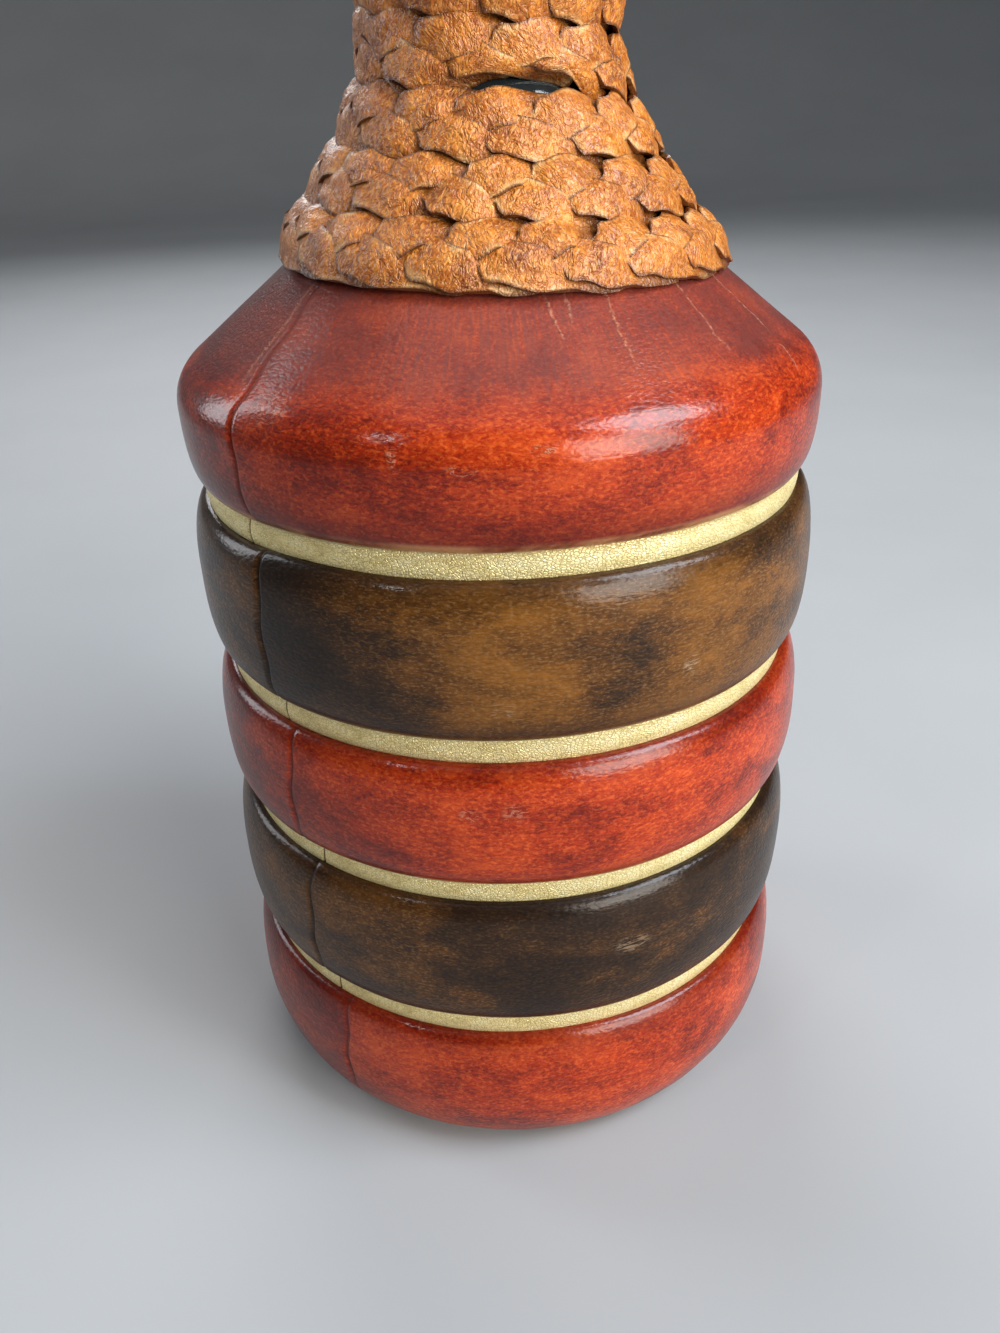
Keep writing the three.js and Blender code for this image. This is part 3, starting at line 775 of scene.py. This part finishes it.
def gilt_strip(name, body, joint, radius, low, high, material):
    """A thin strip with a slight crown and soft edges, cut square and butted at its joint."""
    outer = [(radius - GILT_DEPTH, low), (radius - GILT_SOFT, low),
             (radius - 0.1, low + GILT_SOFT * 0.4), (radius, low + GILT_SOFT)]
    outer += arched(radius, low + GILT_SOFT, high - GILT_SOFT)
    outer += [(radius, high - GILT_SOFT), (radius - 0.1, high - GILT_SOFT * 0.4),
              (radius - GILT_SOFT, high), (radius - GILT_DEPTH, high)]
    outer = spaced(outer, 0.45)
    run = run_of(outer)
    bm = wrapped_leather(outer, run, Seam(joint, JOINT_SLANT, 0.0, 0.0), GILT_UNEVEN, 7.0 + low)
    along = bm.verts.layers.float["along"]
    edge = bm.verts.layers.float.new("edge")
    raw = bm.verts.layers.float.new("raw")
    brim = bm.verts.layers.float.new("brim")
    turn_at = bm.verts.layers.float["turn_at"]
    for vert in bm.verts:
        vert[edge] = abs(2 * vert[along] / run - 1)
        vert[brim] = vert[along] / run
        away = abs((vert[turn_at] + 0.5) % 1.0 - 0.5) * 2 * math.pi * radius
        vert[raw] = math.exp(-(away / JOINT_WIDTH) ** 2)
        sink = 1 - JOINT_SINK * vert[raw] / radius
        vert.co = Vector((vert.co.x * sink, vert.co.y * sink, vert.co.z))
    finished_piece(name + "_foil", bm, material, body, "gilt", name)


gilt = gilt_foil()
for name, joint in (("gilt_strip_1", 230.4), ("gilt_strip_2", 230.6),
                    ("gilt_strip_3", 225.7), ("gilt_strip_4", 222.0)):
    low, high = node_span(name)
    gilt_strip(name, "decanter", joint, GROOVE_RADIUS, low - GILT_LAP, high + GILT_LAP, gilt)


# Winding of the plait

PLAIT_LEAVE = 12.0
PLAIT_ARRIVE = 9.0
PLAIT_TOP_GAP = 1.4
ROW_GAP = 0.6
CURVE_STEPS = 160
NECK_STEPS = 60
TURN_STEPS = 96
ROW_HALF = 5.35
SLIT_DEGREES = 285.0
SLIT_TURNS = 2.958
SLIT_SPREAD = 27.0
SLIT_UPPER_RISE = 3.9
SLIT_LOWER_RISE = -0.1
SEATED_TURNS = 1.1
SEAT_LIFT = 0.9


def plait_meridian():
    """Points of radius and height along the middle of the plait, from the slope to the top of the neck."""
    foot = Vector(on_slope(PLAIT_FOOT_RADIUS, PLAIT_LIFT))
    neck = Vector((NECK_RADIUS + PLAIT_LIFT, foot.y + NECK_RISE))
    leave = foot + PLAIT_LEAVE * Vector((-math.cos(SLOPE), math.sin(SLOPE)))
    arrive = neck - Vector((0.0, PLAIT_ARRIVE))
    points = []
    for i in range(CURVE_STEPS + 1):
        t = i / CURVE_STEPS
        start = (1 - t) ** 3 * foot + 3 * t * (1 - t) ** 2 * leave
        points.append(start + 3 * t * t * (1 - t) * arrive + t ** 3 * neck)
    rise = NECK_TOP - PLAIT_TOP_GAP - neck.y
    points += [Vector((neck.x, neck.y + rise * i / NECK_STEPS)) for i in range(1, NECK_STEPS + 1)]
    return points


meridian = plait_meridian()
meridian_run = [0.0]
for a, b in zip(meridian, meridian[1:]):
    meridian_run.append(meridian_run[-1] + (b - a).length)


def stretch_at(runs, value):
    """Index of the stretch of a rising list in which a value lies; the first and last run on."""
    return min(max(bisect.bisect_right(runs, value) - 1, 0), len(runs) - 2)


def on_meridian(run):
    """Place and outward direction on the plait's meridian; past its ends it runs on straight."""
    index = stretch_at(meridian_run, run)
    a, b = meridian[index], meridian[index + 1]
    step = (b - a).normalized()
    return a + step * (run - meridian_run[index]), Vector((step.y, -step.x))


half_row = (PLAIT_PITCH - ROW_GAP) / 2
plait_turns = (meridian_run[-1] - 2 * half_row) / PLAIT_PITCH
turn_length = [0.0]
for i in range(math.ceil(plait_turns * TURN_STEPS) + 1):
    radius = on_meridian(half_row + PLAIT_PITCH * i / TURN_STEPS)[0].x
    turn_length.append(turn_length[-1] + 2 * math.pi * radius / TURN_STEPS)
plait_length = turn_length[-2]


def turns_at(length):
    """Number of turns that a length of plait makes from its foot."""
    index = stretch_at(turn_length, length)
    share = (length - turn_length[index]) / (turn_length[index + 1] - turn_length[index])
    return (index + share) / TURN_STEPS


def slit_shift(turns, across):
    """How far a row's edge is drawn up where two rows part on the front of the neck."""
    below = turns < SLIT_TURNS
    if abs(abs(turns - SLIT_TURNS) - 0.5) > 0.2 or (across < 0) == below:
        return 0.0
    degrees = (90.0 - 360.0 * turns - SLIT_DEGREES + 180.0) % 360.0 - 180.0
    share = math.exp(-(degrees / SLIT_SPREAD) ** 4) * (abs(across) / ROW_HALF) ** 1.3
    return share * (SLIT_LOWER_RISE if below else SLIT_UPPER_RISE)


def plait_place(length, across, off):
    """A place on the wound plait, from its length, its height in the row and its height off the meridian."""
    turns = turns_at(length)
    across += slit_shift(turns, across)
    place, out = on_meridian(half_row + PLAIT_PITCH * turns + across)
    angle = math.pi / 2 - 2 * math.pi * turns
    radius = place.x + out.x * off
    height = place.y + out.y * off
    if turns < SEATED_TURNS and across < 0:
        above = (height - on_slope(radius, 0.0)[1]) * math.cos(SLOPE)
        hold = min(1.0, max(0.0, (SEATED_TURNS - turns) / 0.12)) * (across / ROW_HALF) ** 2
        drop = max(0.0, above - SEAT_LIFT) * min(1.0, hold)
        radius -= math.sin(SLOPE) * drop
        height -= math.cos(SLOPE) * drop
    return Vector((radius * math.cos(angle), radius * math.sin(angle), height)) * MM


# Strips of the plait

PLAIT_REPEAT = 33.0
PLAIT_SWING = 2.9
PLAIT_DOME = 0.045
SCALLOP = 0.15
STRIP_STEP = 0.7
STRIP_COLUMNS = 9
STRIP_WIDTH = 5.1
STRIP_SWELL = 0.1
STRIP_LEAST = 1.6
STRIP_REACH = 5.2
STRIP_THICK = 0.8
STRIP_SEAT = 0.35
STRIP_TILT = 0.10
WIDEN_RATE = 3.5
OVER_UNDER = 0.74
EDGE_TUCK = 0.36
EDGE_CURL = 0.75
CURL_FROM = 0.2
END_TUCK = 2.1
END_PRESS = 7.0
END_FLATTEN = 0.75
PHASE_DRIFT = 0.55
WIDTH_DRIFT = 0.2
EDGE_DRIFT = 0.09
SWING_DRIFT = 0.15
PUCKER_RISE = 0.34
WRINKLE_RISE = 0.10


def drift(x, y, z):
    return noise.noise(Vector((x, y, z)))


def strip_place(index, length, side):
    """A place on one strip, and how far it is hidden under the others; side runs from -1 to 1."""
    phase = -2 * math.pi * length / PLAIT_REPEAT + 2 * math.pi * index / 3
    phase += PHASE_DRIFT * drift(length * 0.045, index * 5.0, 0.0)
    over = math.sin(2 * phase)
    sway = math.sin(phase)
    swing = PLAIT_SWING * (1 + SWING_DRIFT * drift(length * 0.06, index * 7.0, 9.0))
    lean = math.atan(-swing * math.cos(phase) * 2 * math.pi / PLAIT_REPEAT)

    # Width, which opens out to the row's edge where the strip goes under
    width = STRIP_WIDTH * (1 + STRIP_SWELL * over)
    width *= 1 + WIDTH_DRIFT * drift(length * 0.11, index * 3.0, 4.0)
    width *= 1 + EDGE_DRIFT * drift(length * 0.42, side * 3.0 + index * 3.0, 14.0)
    half = width / 2
    if side * sway > 0:
        brim = (ROW_HALF - SCALLOP * (1 - sway * sway) - swing * abs(sway)) / math.cos(lean)
        beneath = min(1.0, 1.0 - over)
        reach = min(max(brim, STRIP_LEAST), STRIP_REACH)
        half += (reach - half) * min(1.0, WIDEN_RATE * abs(sway)) * beneath
    out = side * half
    across = swing * sway + out * math.cos(lean)
    ahead = length - out * math.sin(lean)

    # Height off the meridian, pressed down at the plait's two ends
    pressed = math.exp(-(min(length, plait_length - length) / END_PRESS) ** 2)
    hidden = 0.5 - 0.5 * over
    curl = EDGE_CURL * max(0.0, drift(length * 0.17, side * 1.5 + index * 11.0, 2.0) - CURL_FROM)
    off = STRIP_SEAT + OVER_UNDER * (1 - END_FLATTEN * pressed) * over
    off += STRIP_TILT * out * math.cos(phase) - PLAIT_DOME * across ** 2
    off += (curl - EDGE_TUCK * (0.2 + 0.8 * hidden)) * abs(side) ** 3
    off += PUCKER_RISE * drift(length * 0.30, side * 1.6 + index * 4.0, 6.0)
    off += WRINKLE_RISE * drift(length * 0.9, side * 2.6 + index * 4.0, 8.0)
    off -= END_TUCK * pressed
    return plait_place(min(max(ahead, 0.0), plait_length), across, off), hidden


def plait_strip(index, material):
    """One of the three flat strips, weaving over and under the others along the wound plait."""
    bm = bmesh.new()
    bmesh.ops.create_grid(bm, x_segments=round(plait_length / STRIP_STEP), y_segments=STRIP_COLUMNS, size=0.5)
    edge = bm.verts.layers.float.new("edge")
    sunk = bm.verts.layers.float.new("sunk")
    strip_map = bm.loops.layers.uv.new("strip")
    share_at = bm.verts.layers.float.new("share_at")
    side_at = bm.verts.layers.float.new("side_at")
    for vert in bm.verts:
        vert[share_at] = vert.co.x + 0.5
        vert[side_at] = vert.co.y * 2
    for vert in bm.verts:
        side = vert[side_at]
        vert.co, vert[sunk] = strip_place(index, vert[share_at] * plait_length, side)
        vert[edge] = abs(side)
    for face in bm.faces:
        for loop in face.loops:
            run = loop.vert[share_at] * plait_length * MM + index * 0.07
            loop[strip_map].uv = (run, loop.vert[side_at] * STRIP_WIDTH * 0.5 * MM)
    bmesh.ops.recalc_face_normals(bm, faces=bm.faces)
    bmesh.ops.solidify(bm, geom=bm.faces, thickness=STRIP_THICK * MM)
    finished_piece(f"plait_strip_{index + 1}", bm, material, "decanter", "tan_leather", "neck_plait")


plait_finish = plaited_leather()
for index in range(3):
    plait_strip(index, plait_finish)


# Glass and base pad

GLASS_RADIUS = 46.0
GLASS_WALL = 3.2
GLASS_FLOOR = 5.0
GLASS_ROUND = 5.0
GLASS_SIDE_TOP = 138.0
GLASS_INNER_TOP = 136.5
UNDER_LEATHER = 1.7
THROAT_STEP = 4
BORE_FOOT = 194.0
LIP_REACH = 4.0
LIP_ROUND = 2.0
MOUTH_ROUND = 1.2
PAD_RADIUS = 47.4


def glass_profile():
    """Outer points from the middle of the bottom to the mouth, then inner ones back down."""
    bottom, mouth = node_span("glass_bottle")
    throat = []
    for i in range(CURVE_STEPS // 2, CURVE_STEPS + 1, THROAT_STEP):
        place, out = on_meridian(meridian_run[i])
        throat.append((place.x - out.x * PLAIT_LIFT, place.y - out.y * PLAIT_LIFT))
    under = on_slope(SHOULDER_TOP_RADIUS, -UNDER_LEATHER)
    heel = GLASS_RADIUS - GLASS_ROUND
    points = [(0.0, bottom), (heel, bottom)]
    points += arc_points((heel, bottom + GLASS_ROUND), GLASS_ROUND, -math.pi / 2, 0, 8)[1:]
    points += [(GLASS_RADIUS, GLASS_SIDE_TOP), under] + throat + [(NECK_RADIUS, NECK_TOP)]
    lip = NECK_RADIUS + LIP_REACH - LIP_ROUND
    points += arc_points((lip, NECK_TOP + LIP_ROUND), LIP_ROUND, -math.pi / 2, 0, 8)
    points += arc_points((lip, mouth - LIP_ROUND), LIP_ROUND, 0, math.pi / 2, 8)
    bore = NECK_RADIUS - GLASS_WALL
    points += arc_points((bore + MOUTH_ROUND, mouth - MOUTH_ROUND), MOUTH_ROUND, math.pi / 2, math.pi, 6)
    points += [(bore, BORE_FOOT)]
    points += [(radius - 3.0, height - 1.6) for radius, height in throat[::-1][1:]]
    inside = GLASS_RADIUS - GLASS_WALL
    floor = bottom + GLASS_FLOOR
    points += [(under[0] - 2.4, under[1] - 2.6), (inside, GLASS_INNER_TOP), (inside, floor + GLASS_ROUND)]
    points += arc_points((inside - GLASS_ROUND, floor + GLASS_ROUND), GLASS_ROUND, 0, -math.pi / 2, 6)[1:]
    return points + [(0.0, floor)]


def pad_profile():
    low, high = node_span("base_pad")
    return spaced([(0.0, low), (PAD_RADIUS - 0.5, low), (PAD_RADIUS - 0.05, low + 0.4),
                   (PAD_RADIUS, high - 0.4), (PAD_RADIUS - 0.4, high), (0.0, high)], 4.0)


def turned_piece(name, profile, steps, material, body, slot, node):
    finished_piece(name, turned(profile, steps, False), material, body, slot, node)


turned_piece("glass_bottle_blown", glass_profile(), TURNED_STEPS, smoked_glass(), "decanter",
             "smoked_glass", "glass_bottle")
turned_piece("base_pad_felt", pad_profile(), TURNED_STEPS, dark_felt(), "decanter", "felt", "base_pad")


# Stopper

KNOB_GROOVE = 21.0
KNOB_RADIUS = 24.0
KNOB_SKIRT_RADIUS = 19.9
KNOB_DOME = 15.0
KNOB_STEPS = 128
KNOB_EDGE_SHADE_REACH = 6.0
KNOB_RAW_REACH = 1.6
KNOB_MAP_MIDDLE = 0.18
GATHERS = 14
GATHER_RISE = 0.05
STOPPER_JOINT = 229.0
STOPPER_STRIP_LAP = 0.1
CORK_FOOT = 12.9
CORK_TOP = 13.8
CORE_FOOT = 19.6
CORE_SKIRT = 20.7
CORE_RADIUS = 22.3
CORE_GAP = 0.3
CORE_INSET = 1.7
knob_low, _ = node_span("stopper_core")
knob_skirt, knob_top = node_span("stopper_leather")
knob_full = knob_top - KNOB_DOME
cork_low, cork_high = node_span("stopper_cork")


def knob_profile():
    belly = curve_points((KNOB_GROOVE, knob_skirt), (KNOB_RADIUS, knob_full), CROWN_POWER, 12)
    dome = curve_points((0.0, knob_top), (KNOB_RADIUS, knob_full), ROUND_POWER, 24)
    outer = spaced([(KNOB_SKIRT_RADIUS, knob_skirt)] + belly + dome[::-1][1:], 0.9)
    inner = curve_points((0.0, knob_top - LEATHER), (KNOB_RADIUS - LEATHER, knob_full), ROUND_POWER, 10)
    inner += [(KNOB_GROOVE - 0.2, knob_skirt + LEATHER + 1.0), (KNOB_SKIRT_RADIUS, knob_skirt + LEATHER)]
    return outer, inner


def knob_cover():
    """The leather drawn over the knob, with faint gathers and a map that spreads from its top."""
    outer, inner = knob_profile()
    run = run_of(outer)
    bm = turned(outer + inner, KNOB_STEPS, True)
    along = bm.verts.layers.float["along"]
    edge = bm.verts.layers.float.new("edge")
    raw = bm.verts.layers.float.new("raw")
    wrap = bm.loops.layers.uv.new("wrap")
    for vert in bm.verts:
        # edge sets the painted shade near the skirt, where the leather turns into the groove under the gilt
        # strip
        vert[edge] = max(0.0, 1 - vert[along] / KNOB_EDGE_SHADE_REACH)
        vert[raw] = max(0.0, 1.0 - vert[along] / KNOB_RAW_REACH)
        radius = math.hypot(vert.co.x, vert.co.y)
        if vert[along] <= run and radius > MM:
            angle = math.atan2(vert.co.y, vert.co.x)
            fade = math.sin(math.pi * vert[along] / run) ** 2
            gather = GATHER_RISE * math.sin(GATHERS * angle + 2.0 * math.sin(3 * angle)) * fade
            swell = 1 + gather * MM / radius
            vert.co = Vector((vert.co.x * swell, vert.co.y * swell, vert.co.z))
    for face in bm.faces:
        for loop in face.loops:
            reach = abs(run - loop.vert[along]) * MM
            angle = math.atan2(loop.vert.co.y, loop.vert.co.x)
            loop[wrap].uv = (KNOB_MAP_MIDDLE + reach * math.cos(angle), reach * math.sin(angle))
    bmesh.ops.remove_doubles(bm, verts=bm.verts, dist=1e-6)
    material = banded_leather("stopper_red_hide", RED, [(0.0, 0.3, 0.05)], 6.0)
    finished_piece("stopper_leather_cover", bm, material, "stopper", "red_leather", "stopper_leather")


def cork_profile():
    return spaced([(0.0, cork_low), (CORK_FOOT - 1.0, cork_low), (CORK_FOOT - 0.3, cork_low + 0.3),
                   (CORK_FOOT, cork_low + 1.0), (CORK_TOP, knob_low), (CORK_TOP, cork_high),
                   (0.0, cork_high)], 2.0)


def core_profile():
    bore = CORK_TOP + CORE_GAP
    skirt = knob_skirt + CORE_INSET
    points = [(0.0, cork_high + CORE_GAP), (bore, cork_high + CORE_GAP), (bore, knob_low),
              (CORE_FOOT - 0.7, knob_low), (CORE_FOOT - 0.15, knob_low + 0.3), (CORE_FOOT, knob_low + 0.8),
              (CORE_FOOT, skirt)]
    points += curve_points((CORE_SKIRT, skirt), (CORE_RADIUS, knob_full), CROWN_POWER, 8)
    dome = curve_points((0.0, knob_top - CORE_INSET), (CORE_RADIUS, knob_full), ROUND_POWER, 12)
    return points + dome[::-1][1:]


knob_cover()
strip_low, strip_high = node_span("stopper_strip")
gilt_strip("stopper_strip", "stopper", STOPPER_JOINT, KNOB_GROOVE, strip_low - STOPPER_STRIP_LAP,
           strip_high + STOPPER_STRIP_LAP, gilt)
turned_piece("stopper_cork_turned", cork_profile(), STOPPER_STEPS, natural_cork(), "stopper", "cork",
             "stopper_cork")
turned_piece("stopper_core_turned", core_profile(), STOPPER_STEPS, turned_wood(), "stopper", "wood",
             "stopper_core")


# Card formers

card = pressed_card()
for name in ("base_former", "lower_former", "middle_former", "upper_former", "shoulder_former"):
    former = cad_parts[name]
    former.data.materials.clear()
    former.data.materials.append(card)


# Floor, light and camera, in metres and watts

FLOOR_SIZE = 4.0
SWEEP_FROM = 1.7
SWEEP_RISE = 0.6
OBJECT_MIDDLE = Vector((0.0, 0.0, 0.13))
WORLD_COLOUR = (0.80, 0.82, 0.85, 1.0)
WORLD_STRENGTH = 0.13


def studio_floor():
    """A wide floor that sweeps up far round the object."""
    bm = bmesh.new()
    bmesh.ops.create_grid(bm, x_segments=64, y_segments=64, size=FLOOR_SIZE)
    for vert in bm.verts:
        vert.co.z = SWEEP_RISE * max(0.0, math.hypot(vert.co.x, vert.co.y) - SWEEP_FROM) ** 2
    for face in bm.faces:
        face.smooth = True
    mesh = bpy.data.meshes.new("floor")
    bm.to_mesh(mesh)
    bm.free()
    material, tree, shader = finish("pale_floor")
    cloud = noise_over(tree, object_place(tree), (6, 6, 6), 3.0)
    colour = ramp(tree, cloud, [(0.2, (0.32, 0.33, 0.34)), (0.8, (0.36, 0.37, 0.38))])
    dress(tree, shader, Base_Color=colour, Roughness=0.8)
    mesh.materials.append(material)
    floor = bpy.data.objects.new("floor", mesh)
    bpy.context.scene.collection.objects.link(floor)


def soft_light(name, place, width, height, watts, colour, spread=180.0):
    """A rectangular lamp that faces the object."""
    lamp = bpy.data.lights.new(name, "AREA")
    lamp.shape = "RECTANGLE"
    lamp.size = width
    lamp.size_y = height
    lamp.energy = watts
    lamp.color = colour
    lamp.spread = math.radians(spread)
    obj = bpy.data.objects.new(name, lamp)
    obj.location = place
    obj.rotation_euler = (OBJECT_MIDDLE - Vector(place)).to_track_quat("-Z", "Y").to_euler()
    bpy.context.scene.collection.objects.link(obj)


def photo_camera():
    """The camera of the photograph, fitted to the strips and the outline."""
    level_reach = math.cos(PITCH_DOWN)
    forward = Vector((math.sin(YAW) * level_reach, math.cos(YAW) * level_reach, -math.sin(PITCH_DOWN)))
    right = Vector((math.cos(YAW), -math.sin(YAW), 0.0))
    up = right.cross(forward)
    rolled_right = right * math.cos(ROLL) + up * math.sin(ROLL)
    rolled_up = up * math.cos(ROLL) - right * math.sin(ROLL)
    lens = bpy.data.cameras.new("photo_camera")
    lens.sensor_fit = "AUTO"
    lens.sensor_width = SENSOR
    lens.lens = SENSOR * FOCAL_PIXELS / max(IMAGE_WIDTH, IMAGE_HEIGHT)
    lens.clip_start = 0.01
    camera = bpy.data.objects.new("photo_camera", lens)
    facing = Matrix((rolled_right, rolled_up, -forward)).transposed().to_4x4()
    camera.matrix_world = Matrix.Translation(EYE) @ facing
    bpy.context.scene.collection.objects.link(camera)
    bpy.context.scene.camera = camera


studio_floor()
soft_light("window", (0.74, -0.30, 0.98), 0.62, 0.52, 16.5, (0.86, 0.93, 1.0))
soft_light("front_right", (0.95, -1.0, 0.58), 0.95, 0.85, 8.3, (1.0, 0.95, 0.88), 100.0)
soft_light("left_back", (-1.1, 0.45, 0.64), 0.35, 0.9, 1.8, (0.92, 0.95, 1.0), 100.0)
soft_light("left_front", (-0.75, -0.75, 1.0), 0.08, 0.08, 1.2, (1.0, 1.0, 1.0))
soft_light("ceiling", (0.0, -0.05, 1.5), 1.2, 1.2, 3.2, (0.94, 0.96, 1.0))
soft_light("back", (-0.25, 1.25, 0.85), 0.9, 0.7, 6.0, (0.97, 0.98, 1.0), 120.0)

world = bpy.data.worlds.new("studio")
bpy.context.scene.world = world
world.use_nodes = True
sky = world.node_tree.nodes["Background"]
sky.inputs["Color"].default_value = WORLD_COLOUR
sky.inputs["Strength"].default_value = WORLD_STRENGTH

photo_camera()
bpy.context.scene.view_settings.view_transform = "Standard"

bpy.context.view_layer.update()
